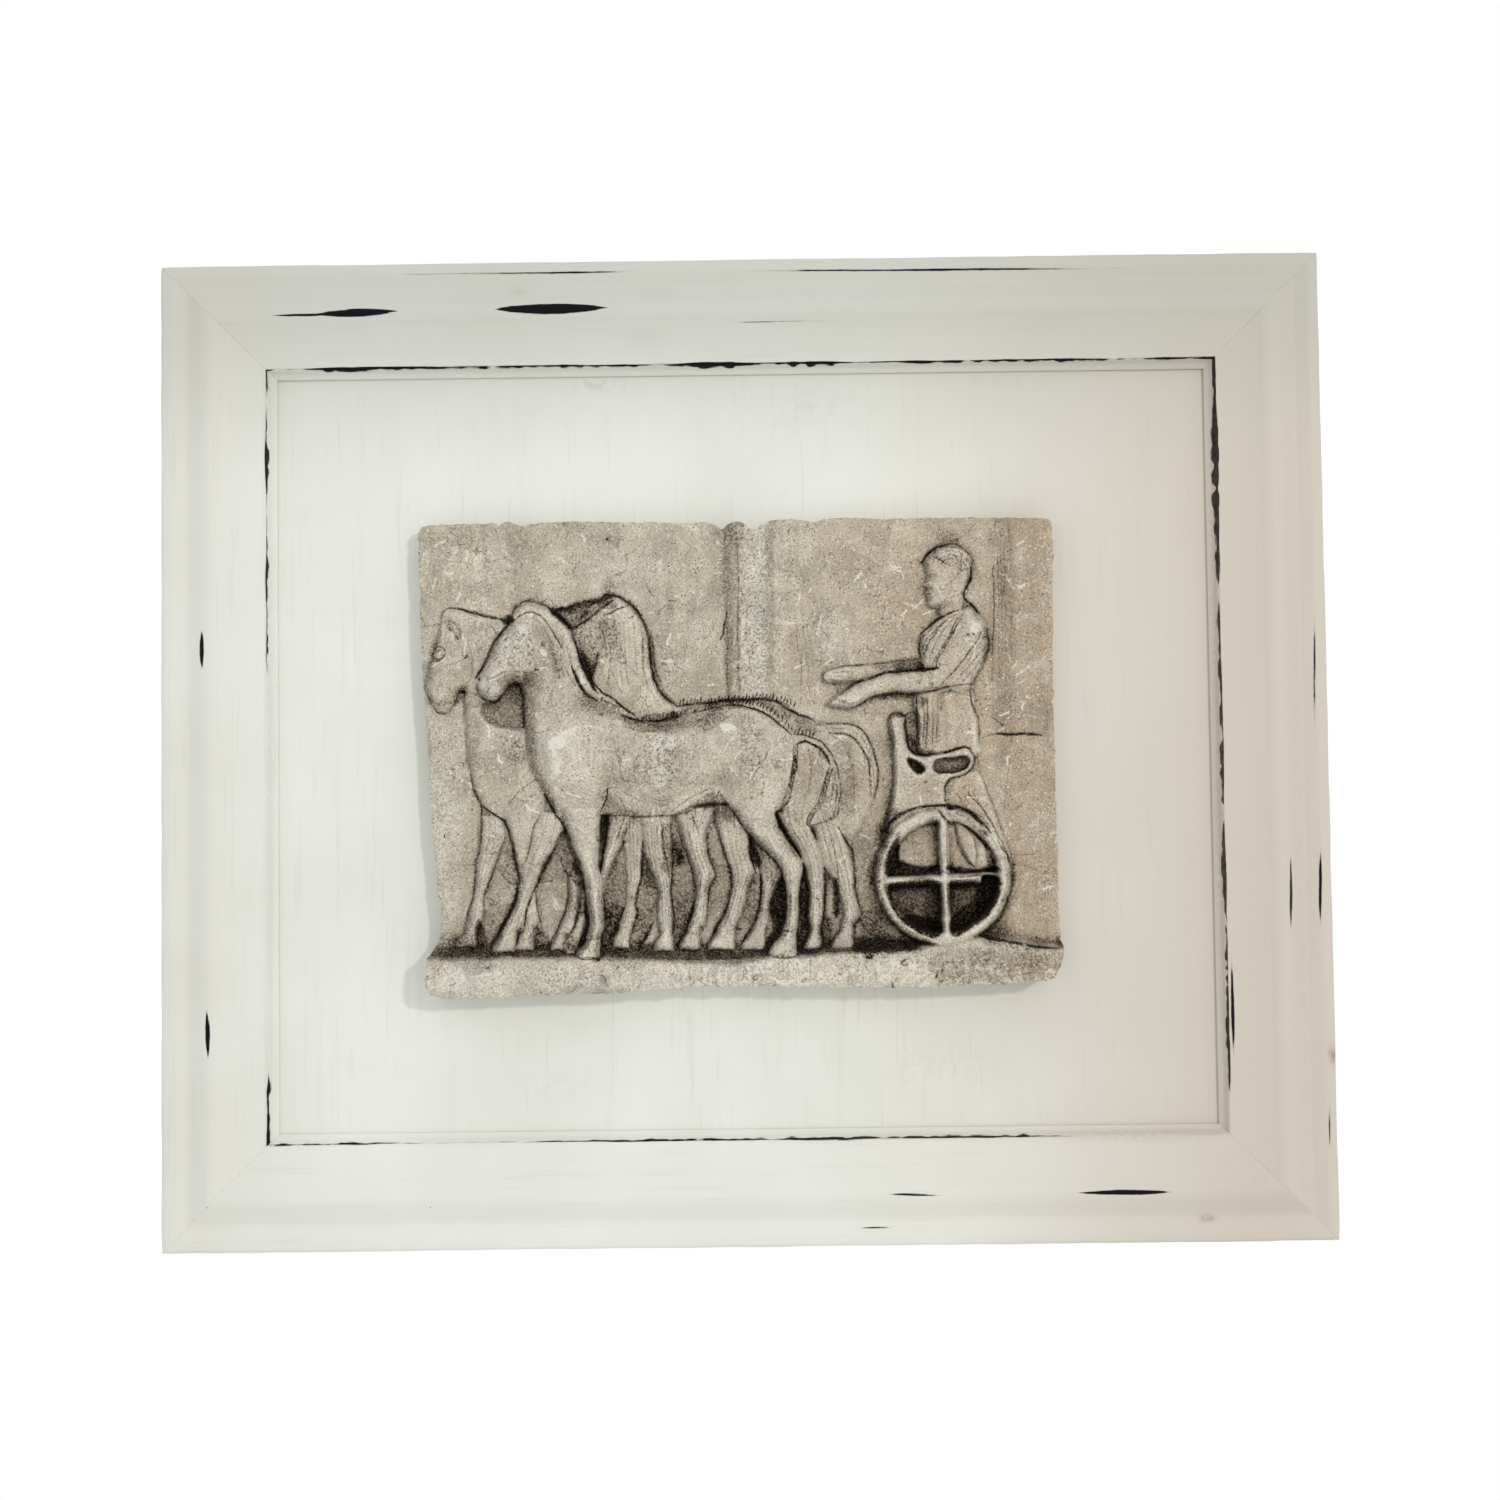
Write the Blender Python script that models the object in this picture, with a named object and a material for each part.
"""Relief plaque on a framed board: a cast plaster relief of a four-horse chariot, a flat
backing board and four mitred frame rails.

X runs right and Z up as the front is seen, and +Y runs into the wall. The back of the board and
of the rails is the plane y = 0, with the origin at its centre. Lengths are in millimetres until a
mesh is made. The relief is worked out as a height above the back of the cast, over readings taken
on the plane of its flat ground, measured from the centre of the frame.
"""

import bpy
import numpy as np

METRE = 0.001
CLEARANCE = 0.3

FRAME_WIDTH = 915.0
FRAME_HEIGHT = 775.0

RAIL_WIDTH = 90.0
RAIL_EDGE_ROUND = 4.0
RAIL_EDGE_HEIGHT = 26.5
RAIL_SCOOP_HEIGHT = 24.2
RAIL_CREST_HEIGHT = 31.8
RAIL_FIELD_HEIGHT = 29.4
RAIL_SIGHT_HEIGHT = 23.6
RAIL_LIP_THICKNESS = 2.7
SIGHT_STRIP = 6.0
REBATE_WIDTH = 10.0

BOARD_THICKNESS = 12.0

CAST_WIDTH = 497.0
CAST_HEIGHT = 369.0
CAST_CENTRE_X = -4.0
CAST_CENTRE_Z = -6.5
SLAB_THICKNESS = 22.0
LEDGE_RISE = 20.0

GRID_STEP = 2.4
WALL_ROWS = 4
RELIEF_TRIANGLES = 7600

# The cast as it was read, which its named width and height stretch.
READ_LEFT, READ_RIGHT = -252.5, 244.5
READ_BOTTOM, READ_TOP = -191.0, 178.0
READ_GROUND = 22.0
READ_LEDGE = 42.0
EYE_X, EYE_Z, EYE_DISTANCE = 9.9, -68.6, 1618.0

WHEEL_X, WHEEL_Z = 153.0, -101.5
WHEEL_RADIUS = 52.5
RIM_WIDTH = 8.0
SPOKE_WIDTH = 6.5
WHEEL_HEIGHT = 38.0

PLASTER = ("plaster", (0.46, 0.41, 0.33), 0.88)
RAIL_PAINT = ("rail_paint", (0.79, 0.77, 0.71), 0.62)
BOARD_PAINT = ("board_paint", (0.77, 0.77, 0.73), 0.7)


def clear_scene():
    for thing in list(bpy.data.objects):
        bpy.data.objects.remove(thing, do_unlink=True)


def material(finish):
    name, colour, roughness = finish
    made = bpy.data.materials.new(name)
    made.use_nodes = True
    shader = made.node_tree.nodes["Principled BSDF"]
    shader.inputs["Base Color"].default_value = (*colour, 1.0)
    shader.inputs["Roughness"].default_value = roughness
    shader.inputs["Metallic"].default_value = 0.0
    return made


def add_object(name, points, faces, finish):
    mesh = bpy.data.meshes.new(name)
    mesh.from_pydata([tuple(point) for point in np.asarray(points) * METRE], [], faces)
    mesh.materials.append(material(finish))
    mesh.update()
    thing = bpy.data.objects.new(name, mesh)
    bpy.context.scene.collection.objects.link(thing)
    return thing


def flow(stations, where):
    """The columns of the stations, carried smoothly to other values of the first column."""
    table = np.array(sorted(stations), float)
    key, values = table[:, 0], table[:, 1:]
    slope = np.gradient(values, key, axis=0)
    where = np.clip(where, key[0], key[-1])
    i = np.clip(np.searchsorted(key, where) - 1, 0, len(key) - 2)
    span = (key[i + 1] - key[i])[..., None]
    t = (where[..., None] - key[i][..., None]) / span
    start = values[i] * (1 + 2 * t) * (1 - t) ** 2 + slope[i] * span * t * (1 - t) ** 2
    end = values[i + 1] * t**2 * (3 - 2 * t) + slope[i + 1] * span * t**2 * (t - 1)
    return np.moveaxis(start + end, -1, 0)


def spline(points, closed, pieces=6):
    """A smooth line through the points, a few short pieces to each gap."""
    points = np.array(points, float)
    count = len(points)
    if closed:
        before, after, later = points[np.arange(count) - 1], np.roll(points, -1, 0), np.roll(points, -2, 0)
        here = points
    else:
        here, after = points[:-1], points[1:]
        before = np.vstack([2 * points[:1] - points[1:2], points[:-2]])
        later = np.vstack([points[2:], 2 * points[-1:] - points[-2:-1]])
    t = np.linspace(0, 1, pieces, endpoint=False)[None, :, None]
    here, after, before, later = (part[:, None, :] for part in (here, after, before, later))
    line = 0.5 * (
        2 * here
        + (after - before) * t
        + (2 * before - 5 * here + 4 * after - later) * t**2
        + (3 * here - before - 3 * after + later) * t**3
    )
    line = line.reshape(-1, points.shape[1])
    return line if closed else np.vstack([line, points[-1:]])


def rounded(share, power=2.4):
    """A bulging cross-section: 0 at both edges of the share 0..1 and 1 in the middle."""
    across = np.clip(np.abs(2 * share - 1), 0, 1)
    return (1 - across**power) ** (1 / power)


class Relief:
    """Heights above the back of the cast, over a grid of readings on the ground plane."""

    def __init__(self, x, z):
        self.x = x
        self.z = z
        self.height = np.full(x.shape, READ_GROUND)

    def raise_to(self, inside, value):
        self.height = np.where(inside, np.maximum(self.height, value), self.height)

    def stand(self, stations, base, top, power=2.4):
        """An upright form from rows of z, left edge and right edge."""
        left, right = flow(stations, self.z)
        share = (self.x - left) / (right - left)
        heights = [row[0] for row in stations]
        inside = (self.z >= min(heights)) & (self.z <= max(heights)) & (share > 0) & (share < 1)
        self.raise_to(inside, base + (top - base) * rounded(share, power))

    def lie(self, stations, base, top, power=2.4):
        """A level form from rows of x, lower edge and upper edge."""
        low, high = flow(stations, self.x)
        share = (self.z - low) / (high - low)
        places = [row[0] for row in stations]
        inside = (self.x >= min(places)) & (self.x <= max(places)) & (share > 0) & (share < 1)
        self.raise_to(inside, base + (top - base) * rounded(share, power))

    def depth_inside(self, outline):
        """How far inside the closed outline each place is, negative outside."""
        line = spline(outline, True)
        ahead = np.roll(line, -1, 0)
        distance = np.full(self.x.shape, 1e9)
        crossings = np.zeros(self.x.shape, int)
        for (x0, z0), (x1, z1) in zip(line, ahead):
            run, climb = x1 - x0, z1 - z0
            t = ((self.x - x0) * run + (self.z - z0) * climb) / (run**2 + climb**2 + 1e-9)
            t = np.clip(t, 0, 1)
            distance = np.minimum(distance, np.hypot(self.x - x0 - t * run, self.z - z0 - t * climb))
            spans = (z0 > self.z) != (z1 > self.z)
            place = x0 + (self.z - z0) * run / (climb if climb else 1e-9)
            crossings += spans & (self.x < place)
        return np.where(crossings % 2 == 1, distance, -distance)

    def patch(self, outline, base, top, edge):
        """A form with this outline whose rim rises from base to top over the edge width."""
        depth = self.depth_inside(outline)
        rim = 1 - np.clip(depth / edge, 0, 1)
        self.raise_to(depth > 0, base + (top - base) * np.sqrt(1 - rim**2))

    def opening(self, outline, floor, edge=2.0):
        """A hole with this outline and a sloping wall down to its floor."""
        depth = self.depth_inside(outline)
        wall = np.clip(depth / edge, 0, 1)
        sunk = self.height + (floor - self.height) * wall
        self.height = np.where(depth > 0, np.minimum(self.height, sunk), self.height)

    def limb(self, stations, base, top):
        """A chain of tapering round lengths from rows of x, z and half width."""
        line = spline(stations, False)
        for (x0, z0, w0), (x1, z1, w1) in zip(line[:-1], line[1:]):
            run, climb = x1 - x0, z1 - z0
            t = ((self.x - x0) * run + (self.z - z0) * climb) / (run**2 + climb**2 + 1e-9)
            t = np.clip(t, 0, 1)
            away = np.hypot(self.x - x0 - t * run, self.z - z0 - t * climb) / (w0 + t * (w1 - w0))
            bulge = np.sqrt(np.clip(1 - away**2, 0, 1))
            self.raise_to(away < 1, base + (top - base) * bulge)

    def swell(self, x, z, half_length, half_width, lean, rise):
        """A soft mound, or a hollow where the rise is negative. The lean is in degrees."""
        angle = np.radians(lean)
        along = (self.x - x) * np.cos(angle) + (self.z - z) * np.sin(angle)
        across = (self.z - z) * np.cos(angle) - (self.x - x) * np.sin(angle)
        self.height = self.height + rise * np.exp(-((along / half_length) ** 2) - (across / half_width) ** 2)

    def hoof(self, toe, heel, narrow, foot, base, top):
        """A hoof from its toe and heel at the foot line to the narrow top given as left, right, z."""
        left, right, head = narrow
        self.stand([(foot, toe, heel), (head, left, right)], base, top, 5.0)


def carve_ground(relief):
    """The shallow upright channel and the worn hollows of the flat ground."""
    relief.height -= 1.2 * np.exp(-(((relief.x - 9) / 9) ** 4)) * (relief.z > 36)
    relief.swell(-205, 150, 50, 24, 0, -0.6)
    relief.swell(120, 120, 40, 36, 0, -0.5)


def carve_ledge(relief):
    """The standing ledge along the foot and the hollow slope down to it."""
    edge = flow(
        [(-252, -161.5), (-120, -162.5), (-60, -164.5), (-20, -166), (20, -163.5), (80, -160), (130, -157.5),
         (160, -153), (186, -150.5), (215, -155), (245, -158)],
        relief.x,
    )[0]
    reach = np.where(relief.x < 130, 12.0, 7.0)
    slope = np.clip((edge + reach - relief.z) / reach, 0, 1)
    relief.height += slope**2.2 * (READ_LEDGE - 3 - relief.height)
    relief.height = np.where(relief.z < edge, READ_LEDGE, relief.height)


def carve_far_horses(relief):
    """The three horses behind: the far head, the raised head, their backs and far tails."""
    head_and_chest = [
        (-232, 111), (-205, 106.5), (-184, 101), (-164, 80), (-160, 0), (-156, -50), (-187, -54),
        (-205, -42), (-214, -15), (-216, 20), (-219, 47), (-225, 37), (-233, 29), (-242, 34),
        (-247, 52), (-243, 74), (-236, 98),
    ]
    relief.patch(head_and_chest, 23.0, 27.5, 9.0)
    under_jaw = [(-205, 37), (-200, 22.5), (-170, 17), (-168, 52), (-186, 53), (-196, 40)]
    relief.opening(under_jaw, 22.5, 1.5)
    relief.swell(-224, 70, 16, 12, 70, 2.2)
    relief.swell(-236, 41, 8, 8, 0, 1.6)
    croup_and_tail = [
        (-60, 30), (-40, 32), (-15, 34), (12, 36), (30, 33.5), (44, 24.5), (60, 17), (78, 18),
        (92, 13), (100, -3), (103, -25), (97, -48), (86, -70), (74, -66), (40, -10),
    ]
    relief.patch(croup_and_tail, 23.0, 26.0, 6.0)
    raised_neck = [
        (-150, 109), (-136, 110), (-122, 116), (-104, 120), (-90, 114), (-79, 102), (-73.5, 82),
        (-72, 64), (-65, 45), (-53, 33), (-70, 20), (-110, 40), (-132, 80), (-138, 96),
    ]
    relief.patch(raised_neck, 23.5, 29.0, 8.0)
    mane_band = [
        (-180, 100), (-177, 111), (-167, 117), (-152, 111), (-138, 98), (-131, 83), (-121, 58), (-104, 41),
        (-80, 22), (-130, 40), (-160, 90),
    ]
    relief.patch(mane_band, 25.0, 32.0, 4.0)
    near_tail = [
        (28, 14), (38, 9.5), (56, 6.5), (69, -8), (74, -28), (73, -52), (58, -62), (30, -56), (28, -10),
    ]
    relief.patch(near_tail, 26.0, 32.0, 5.0)


def carve_far_forelegs(relief):
    """The forelegs and hooves of the three horses behind, from the left."""
    first = [
        (-50, -205, -190), (-65, -206, -187), (-90, -209.5, -195), (-105, -210, -200.5),
        (-118, -212.5, -203.5), (-130, -216.3, -203.5), (-138, -218.5, -209),
    ]
    relief.stand(first, 23.0, 28.5)
    relief.hoof(-225.5, -210, (-218.5, -209.5, -138), -152, 23.0, 29.0)
    second_chest = [(-48, -188, -158), (-62, -183.5, -163), (-80, -179, -169), (-97, -176, -174)]
    relief.stand(second_chest, 23.5, 28.0)
    second = [
        (-48, -160, -140), (-62, -165, -140), (-75, -168, -147), (-88, -173, -155.5),
        (-100, -175.5, -160.5), (-113, -177.5, -167), (-134, -187.5, -172), (-141, -192, -178),
    ]
    relief.stand(second, 24.0, 31.0)
    relief.hoof(-197.5, -179.5, (-191.5, -178, -141), -156, 24.0, 32.0)
    third = [(-105, -167, -163.5), (-118, -170, -162.5), (-131, -171, -159.5), (-140, -176, -165)]
    relief.stand(third, 23.0, 27.5)
    relief.hoof(-179, -165, (-177, -165, -141), -154.5, 23.0, 28.0)
    fourth = [(-98, -138, -130), (-112, -137, -130), (-132, -142, -131), (-141, -147, -133)]
    relief.stand(fourth, 23.0, 27.5)
    relief.hoof(-152, -140, (-147, -134, -141), -155, 23.0, 28.5)
    relief.hoof(-141, -131, (-132, -124, -128), -158, 24.0, 29.0)
    fifth = [(-50, -106, -84), (-62, -107, -91), (-75, -109, -97), (-88, -112, -103), (-104, -114, -110)]
    relief.stand(fifth, 25.0, 32.0)


def carve_far_hindlegs(relief):
    """The belly behind the near one, and the hind legs and hooves behind, from the left."""
    second_belly = [
        (-121, -51, -24), (-95, -51.5, -24), (-70, -52.5, -28), (-54, -51, -26), (-40, -45.5, -22),
        (-9, -42, -20),
    ]
    relief.lie(second_belly, 25.0, 31.0, 6.0)
    first = [(-48, -94, -80), (-75, -94.5, -80), (-100, -92.5, -81.5), (-120, -94, -85.5), (-136, -99, -86)]
    relief.stand(first, 23.0, 26.5)
    relief.hoof(-103.5, -90.5, (-99, -87.5, -136), -154, 23.0, 28.0)
    second = [
        (-48, -82, -57), (-80, -78, -58), (-100, -72, -57), (-112, -67.5, -59), (-128, -69, -56.5),
        (-140, -67, -57),
    ]
    relief.stand(second, 24.0, 30.0)
    relief.hoof(-72, -56, (-67, -57, -140), -156.5, 24.0, 31.0)
    third = [
        (-46, -56, -22), (-62, -51, -30), (-80, -45.5, -29.5), (-98, -39.5, -24), (-110, -38.5, -29.5),
        (-130, -43, -30.5), (-141, -48, -36),
    ]
    relief.stand(third, 24.0, 31.0)
    relief.hoof(-52, -36, (-48, -36, -141), -155.5, 24.0, 31.0)
    fourth = [
        (-44, -24, 6), (-62, -22, 4), (-80, -17, 3.5), (-96, -12, 7), (-110, -11, 1), (-128, -17, -3),
        (-140, -23, -8),
    ]
    relief.stand(fourth, 24.0, 30.0)
    relief.hoof(-29.5, -9.5, (-23, -8, -140), -156, 24.0, 31.0)
    fifth = [(-70, 4, 22), (-96, 11, 29), (-112, 12, 21), (-130, 9, 18), (-140, 4, 16)]
    relief.stand(fifth, 23.5, 28.5)
    relief.hoof(-4, 14, (4, 16, -140), -156.5, 23.5, 29.5)
    sixth = [
        (-50, 25, 52), (-62, 30, 51), (-80, 41, 58), (-95, 46, 61), (-112, 49.5, 60.5), (-130, 48, 60),
        (-140, 49, 57),
    ]
    relief.stand(sixth, 26.0, 32.0)
    relief.hoof(44, 58, (49, 57, -140), -156, 26.0, 32.0)
    seventh = [
        (-56, 52, 72), (-75, 56, 79), (-95, 62, 84), (-115, 73, 85), (-128, 75, 88), (-138, 73, 84),
    ]
    relief.stand(seventh, 24.0, 29.0)
    relief.hoof(66.5, 82, (73, 83, -138), -155.5, 24.0, 30.0)


def carve_near_horse(relief):
    """The near horse, in the highest relief."""
    outline = [
        (-165, 108), (-151, 97), (-141, 80), (-130, 57), (-117, 42), (-92, 27), (-72, 22), (-45, 27),
        (-8, 33.3), (14, 28), (30, 16.5), (37.5, 9), (39.3, -10), (34, -34), (24, -50), (-9, -50),
        (-21, -32), (-42, -34.5), (-58, -46), (-72, -45), (-90, -36), (-104, -30), (-113, -50), (-140, -54),
        (-156, -33), (-167, -11), (-170.5, 20), (-172, 48), (-182, 51), (-190, 41), (-200, 38), (-208, 48),
        (-206, 62), (-197, 80), (-180, 101),
    ]
    relief.patch(outline, 28.0, 36.5, 7.0)
    relief.swell(-135, 5, 26, 34, 70, 2.4)
    relief.swell(-60, -5, 46, 26, 0, 2.0)
    relief.swell(8, 2, 30, 30, 40, 2.6)
    relief.swell(-60, 19, 40, 5, 4, -2.0)
    relief.swell(-168, 80, 26, 14, 60, 1.2)
    foreleg = [
        (-45, -145, -111), (-60, -140, -113), (-75, -135, -113.5), (-90, -129.5, -114), (-104, -125, -110.5),
        (-120, -123, -111), (-138, -122, -109.5), (-145, -124.5, -112),
    ]
    relief.stand(foreleg, 28.0, 38.0)
    relief.hoof(-132.5, -114.5, (-124.5, -112, -145), -161.5, 28.0, READ_LEDGE)
    hindleg = [
        (-40, -17, 28), (-52, -8, 23.5), (-64, 1, 27.5), (-76, 12, 36), (-88, 24, 44), (-98, 28.5, 44),
        (-112, 31.5, 41.3), (-130, 31, 41), (-140, 28.5, 39.5),
    ]
    relief.stand(hindleg, 29.0, 38.0)
    relief.hoof(17, 38, (28.5, 39.5, -140), -162, 29.0, READ_LEDGE)


def carve_chariot(relief):
    """The chariot's body with its two openings, and the folds that hang behind it."""
    lower_drape = [
        (157, -26), (176, -20), (183, -22), (189, -40), (198, -66), (208, -93), (198, -80), (176, -54),
        (158, -46),
    ]
    relief.patch(lower_drape, 23.0, 26.5, 5.0)
    body = [
        (113, 21), (119, 25), (125, 22), (126, 4), (131, -6), (144, -7.5), (160, -5), (171, -1), (178, -9),
        (175, -20), (160, -26), (155.5, -34), (157, -50), (130, -66), (110, -66), (115, -40), (116, -5),
    ]
    relief.patch(body, 24.0, 30.5, 4.0)
    relief.opening([(127, -10), (136, -12.5), (140.5, -18), (136, -22.5), (129.5, -18)], 20.0)
    relief.opening([(146.5, -15), (152, -10.5), (174, -8.5), (175, -16), (166, -20), (150, -20.5)], 22.0)


def carve_wheel(relief):
    """The wheel: its sunk lower half, its rim with the front layer broken off, and its spokes."""
    away = np.hypot(relief.x - WHEEL_X, relief.z - WHEEL_Z)
    hole = WHEEL_RADIUS - RIM_WIDTH
    relief.height = np.where(away < hole, 22.5, relief.height)
    lower = (away < hole) & (relief.z < WHEEL_Z)
    fall = np.clip((WHEEL_Z - relief.z) / hole, 0, 1)
    relief.height = np.where(lower, 15.0 - 5.0 * fall, relief.height)
    leg = [(162, -58), (171, -61), (180, -76), (178, -95), (170, -86)]
    relief.patch(leg, 23.0, 27.0, 4.0)
    lean = np.clip((relief.z + 128) / 60, 0, 1)
    from_upright = np.abs(relief.x - WHEEL_X - 1.5 + 3 * lean)
    from_level = np.abs(relief.z - WHEEL_Z + 2.5 - 0.02 * (relief.x - WHEEL_X))
    spoke = np.minimum(from_upright, from_level) / (SPOKE_WIDTH / 2)
    relief.raise_to((spoke < 1) & (away < hole + 1), 30 + 6 * np.sqrt(np.clip(1 - spoke**2, 0, 1)))
    share = (away - hole) / RIM_WIDTH
    relief.raise_to((share > 0) & (share < 1), 31 + (WHEEL_HEIGHT - 31) * rounded(share, 3.0))
    broken = (share > -0.02) & (share < 1.02) & (relief.x > 150) & (relief.z > -88)
    relief.height = np.where(broken, np.minimum(relief.height, 31.0), relief.height)


def carve_driver(relief):
    """The standing driver: robe, arms held out to the left, and a plain head."""
    skirt = [(135, 40), (136, 14), (137, -6), (181, -8), (182, 8), (180, 26), (176.5, 42)]
    relief.patch(skirt, 23.5, 28.0, 4.0)
    relief.lie([(63, 50, 60), (78, 50, 62.5), (95, 52, 63), (115, 57, 65), (140, 59, 68)], 23.5, 28.0)
    robe = [
        (138, 87), (146, 96), (166, 104), (178, 106.5), (190, 93), (190, 76), (182, 55), (176, 43),
        (158, 42), (140, 56), (136, 72),
    ]
    relief.patch(robe, 24.0, 31.5, 6.0)
    relief.limb([(162, 101, 8), (161, 116, 10)], 24.0, 29.5)
    relief.patch([(140, 143), (150, 154), (162, 158), (175, 153), (179.5, 140), (176, 126), (165, 113),
                  (149, 106.5), (142, 112), (140.5, 128)], 24.0, 32.0, 9.0)
    relief.lie([(75, 37, 42), (84, 30.5, 47), (95, 36, 52.5), (108, 40.5, 57), (125, 41, 58), (142, 41.5, 60),
                (158, 45, 62)], 24.0, 33.0)
    relief.limb([(178, 92, 12), (168, 76, 11), (158, 62, 10), (150, 52, 9)], 26.0, 34.0)


def outline_edges(share_x, share_z):
    """Readings on the ground plane from shares of the width and height of the cast."""
    z = READ_BOTTOM + share_z * (READ_TOP - READ_BOTTOM)
    left, right = flow(
        [(-191, -243, 236), (-186, -248, 243), (-175, -249, 245), (-162, -248, 244.5), (-158, -246.5, 244),
         (-146, -239.5, 243), (-100, -240, 242.5), (-50, -244, 242), (0, -246, 241.5), (60, -250, 241.5),
         (120, -252, 242.5), (165, -253, 243), (174, -252, 242.5), (178, -248, 239)],
        z,
    )
    x = left + share_x * (right - left)
    bottom, top = flow(
        [(-250, -188.5, 175), (-243, -190.5, 177), (-200, -191, 178), (-100, -189, 178), (-40, -186.5, 177),
         (0, -185, 176.5), (8, -185.2, 172), (20, -185.5, 176.5), (60, -186.5, 177.5), (150, -187, 178.5),
         (220, -184, 178), (236, -182, 177.5), (245, -177, 175)],
        x,
    )
    return x, bottom + share_z * (top - bottom)


def relief_grid():
    columns = int(CAST_WIDTH / GRID_STEP)
    rows = int(CAST_HEIGHT / GRID_STEP)
    share_x, share_z = np.meshgrid(np.linspace(0, 1, columns), np.linspace(0, 1, rows))
    relief = Relief(*outline_edges(share_x, share_z))
    carve_ground(relief)
    carve_ledge(relief)
    carve_far_horses(relief)
    carve_driver(relief)
    carve_chariot(relief)
    carve_wheel(relief)
    carve_far_forelegs(relief)
    carve_far_hindlegs(relief)
    carve_near_horse(relief)
    return relief


def place_cast(x, z, height):
    """Readings and heights as places in the object's frame, drawn in towards the eye by their rise."""
    above = np.maximum(height - READ_GROUND, 0)
    nearer = 1 - above / EYE_DISTANCE
    x = EYE_X + (x - EYE_X) * nearer
    z = EYE_Z + (z - EYE_Z) * nearer
    wide = CAST_WIDTH / (READ_RIGHT - READ_LEFT)
    tall = CAST_HEIGHT / (READ_TOP - READ_BOTTOM)
    x = CAST_CENTRE_X + (x - (READ_LEFT + READ_RIGHT) / 2) * wide
    z = CAST_CENTRE_Z + (z - (READ_BOTTOM + READ_TOP) / 2) * tall
    figure = above * LEDGE_RISE / (READ_LEDGE - READ_GROUND)
    rise = np.minimum(height, READ_GROUND) * SLAB_THICKNESS / READ_GROUND + figure
    return np.stack([x, -(BOARD_THICKNESS + CLEARANCE) - rise, z], -1)


def build_cast():
    relief = relief_grid()
    rows, columns = relief.height.shape
    front = place_cast(relief.x, relief.z, relief.height).reshape(-1, 3)
    index = np.arange(rows * columns).reshape(rows, columns)
    a, b, c, d = index[:-1, :-1], index[:-1, 1:], index[1:, 1:], index[1:, :-1]
    faces = np.stack([a, b, c, d], -1).reshape(-1, 4).tolist()
    around = np.concatenate([index[0, :-1], index[:-1, -1], index[-1, :0:-1], index[:0:-1, 0]])
    points = [front]
    upper = around
    edge = front[around]
    back = -(BOARD_THICKNESS + CLEARANCE)
    for row in range(1, WALL_ROWS + 1):
        wall = edge.copy()
        wall[:, 1] = edge[:, 1] + (back - edge[:, 1]) * row / WALL_ROWS
        lower = len(front) + (row - 1) * len(around) + np.arange(len(around))
        points.append(wall)
        faces += np.stack([np.roll(upper, -1), upper, lower, np.roll(lower, -1)], -1).tolist()
        upper = lower
    faces.append(upper[::-1].tolist())
    cast = add_object("plaster_relief", np.vstack(points), faces, PLASTER)
    plain_triangles = 2 * (rows - 1) * (columns - 1) + (2 * WALL_ROWS + 1) * len(around)
    reduce = cast.modifiers.new("reduce", "DECIMATE")
    reduce.ratio = RELIEF_TRIANGLES / plain_triangles
    return cast


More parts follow.
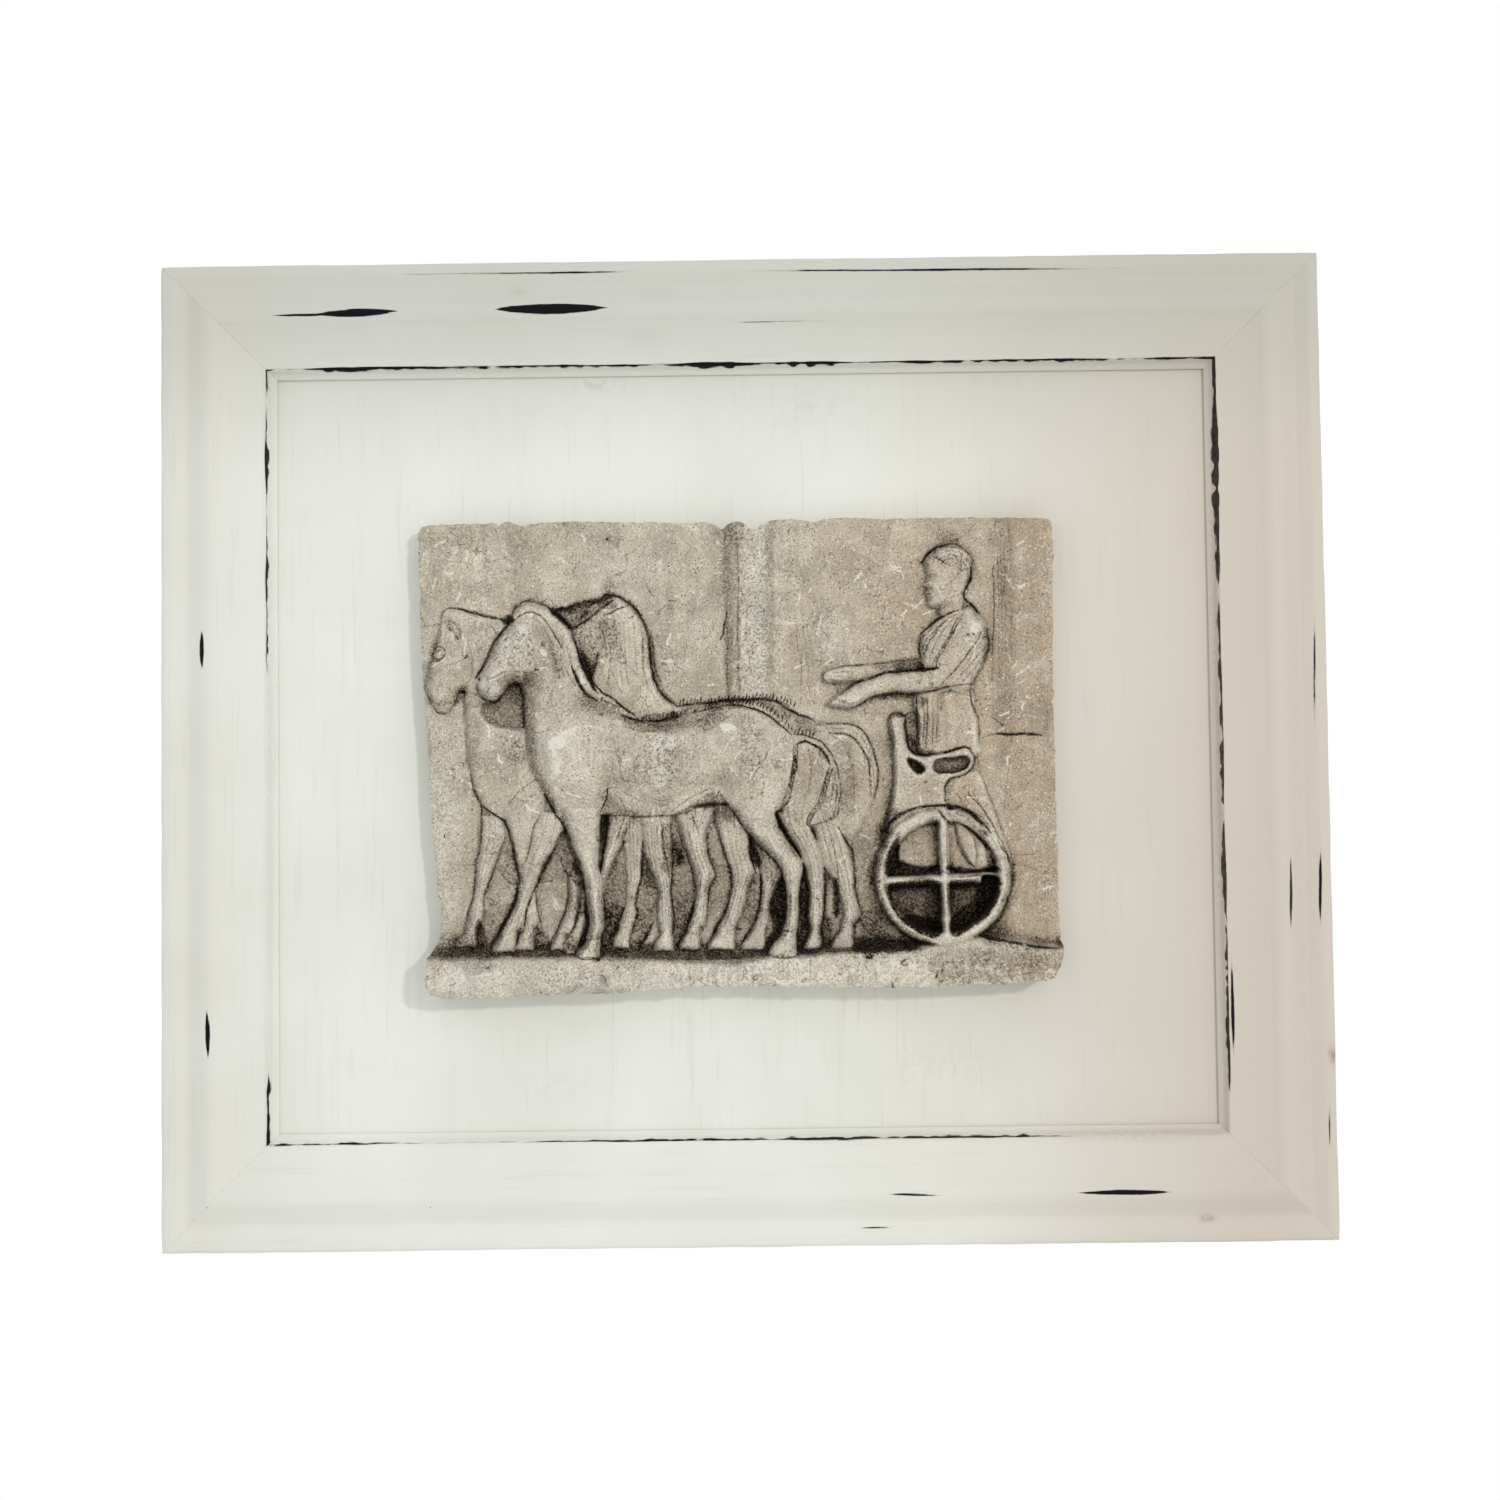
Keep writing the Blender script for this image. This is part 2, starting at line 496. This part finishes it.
def rail_section():
    """The rail's cross-section as distance in from the outer edge and height off the wall."""
    back_edge = RAIL_WIDTH - REBATE_WIDTH
    rebate = BOARD_THICKNESS + CLEARANCE
    sight = RAIL_WIDTH - SIGHT_STRIP
    unit = RAIL_WIDTH / 90.0
    shaped = [
        (0.0, RAIL_EDGE_HEIGHT - RAIL_EDGE_ROUND),
        (0.8 * unit, RAIL_EDGE_HEIGHT - 0.45 * RAIL_EDGE_ROUND),
        (3 * unit, RAIL_EDGE_HEIGHT - 0.1 * RAIL_EDGE_ROUND),
        (9 * unit, RAIL_EDGE_HEIGHT),
        (15 * unit, (RAIL_EDGE_HEIGHT + RAIL_SCOOP_HEIGHT) / 2 - 0.3),
        (21 * unit, RAIL_SCOOP_HEIGHT),
        (28 * unit, (RAIL_SCOOP_HEIGHT + RAIL_CREST_HEIGHT) / 2 - 0.8),
        (34 * unit, RAIL_CREST_HEIGHT - 1.6),
        (40 * unit, RAIL_CREST_HEIGHT),
        (46 * unit, RAIL_CREST_HEIGHT - 0.7),
        (51 * unit, RAIL_FIELD_HEIGHT),
        (62 * unit, (RAIL_FIELD_HEIGHT + RAIL_SIGHT_HEIGHT) / 2),
        (73 * unit, RAIL_SIGHT_HEIGHT + 1.0),
        (sight, RAIL_SIGHT_HEIGHT),
    ]
    front = [tuple(point) for point in spline(shaped, False, 3)]
    lip_height = rebate + RAIL_LIP_THICKNESS
    lip_middle = 0.6 * lip_height + 0.4 * RAIL_SIGHT_HEIGHT
    lip = [(RAIL_WIDTH - 0.6 * SIGHT_STRIP, lip_middle), (RAIL_WIDTH, lip_height)]
    return [(0.0, 0.0)] + front + lip + [(RAIL_WIDTH, rebate), (back_edge, rebate), (back_edge, 0.0)]


def build_rail(name, turn, length, reach):
    """A mitred rail. It is built at the foot and turned by quarter turns; reach is how far out it lies."""
    section = np.array(rail_section())
    half = length / 2 - section[:, 0] - CLEARANCE / np.sqrt(2)
    ends = []
    for side in (-1, 1):
        ends.append(np.stack([side * half, -section[:, 1], -reach + section[:, 0]], -1))
    points = np.vstack(ends)
    angle = turn * np.pi / 2
    x = points[:, 0] * np.cos(angle) - points[:, 2] * np.sin(angle)
    z = points[:, 0] * np.sin(angle) + points[:, 2] * np.cos(angle)
    points = np.stack([x, points[:, 1], z], -1)
    count = len(section)
    after = [(i + 1) % count for i in range(count)]
    faces = [[i, i + count, after[i] + count, after[i]] for i in range(count)]
    faces.append(list(range(count)))
    faces.append(list(range(2 * count - 1, count - 1, -1)))
    return add_object(name, points, faces, RAIL_PAINT)


def build_board():
    inset = RAIL_WIDTH - REBATE_WIDTH + CLEARANCE
    x, z = FRAME_WIDTH / 2 - inset, FRAME_HEIGHT / 2 - inset
    ring = [(-x, -z), (x, -z), (x, z), (-x, z)]
    points = [(px, -BOARD_THICKNESS, pz) for px, pz in ring] + [(px, 0.0, pz) for px, pz in ring]
    faces = [[0, 1, 2, 3], [7, 6, 5, 4]] + [[(i + 1) % 4, i, i + 4, (i + 1) % 4 + 4] for i in range(4)]
    return add_object("backing_board", points, faces, BOARD_PAINT)


def main():
    clear_scene()
    build_board()
    build_rail("rail_bottom", 0, FRAME_WIDTH, FRAME_HEIGHT / 2)
    build_rail("rail_right", 1, FRAME_HEIGHT, FRAME_WIDTH / 2)
    build_rail("rail_top", 2, FRAME_WIDTH, FRAME_HEIGHT / 2)
    build_rail("rail_left", 3, FRAME_HEIGHT, FRAME_WIDTH / 2)
    build_cast()


main()
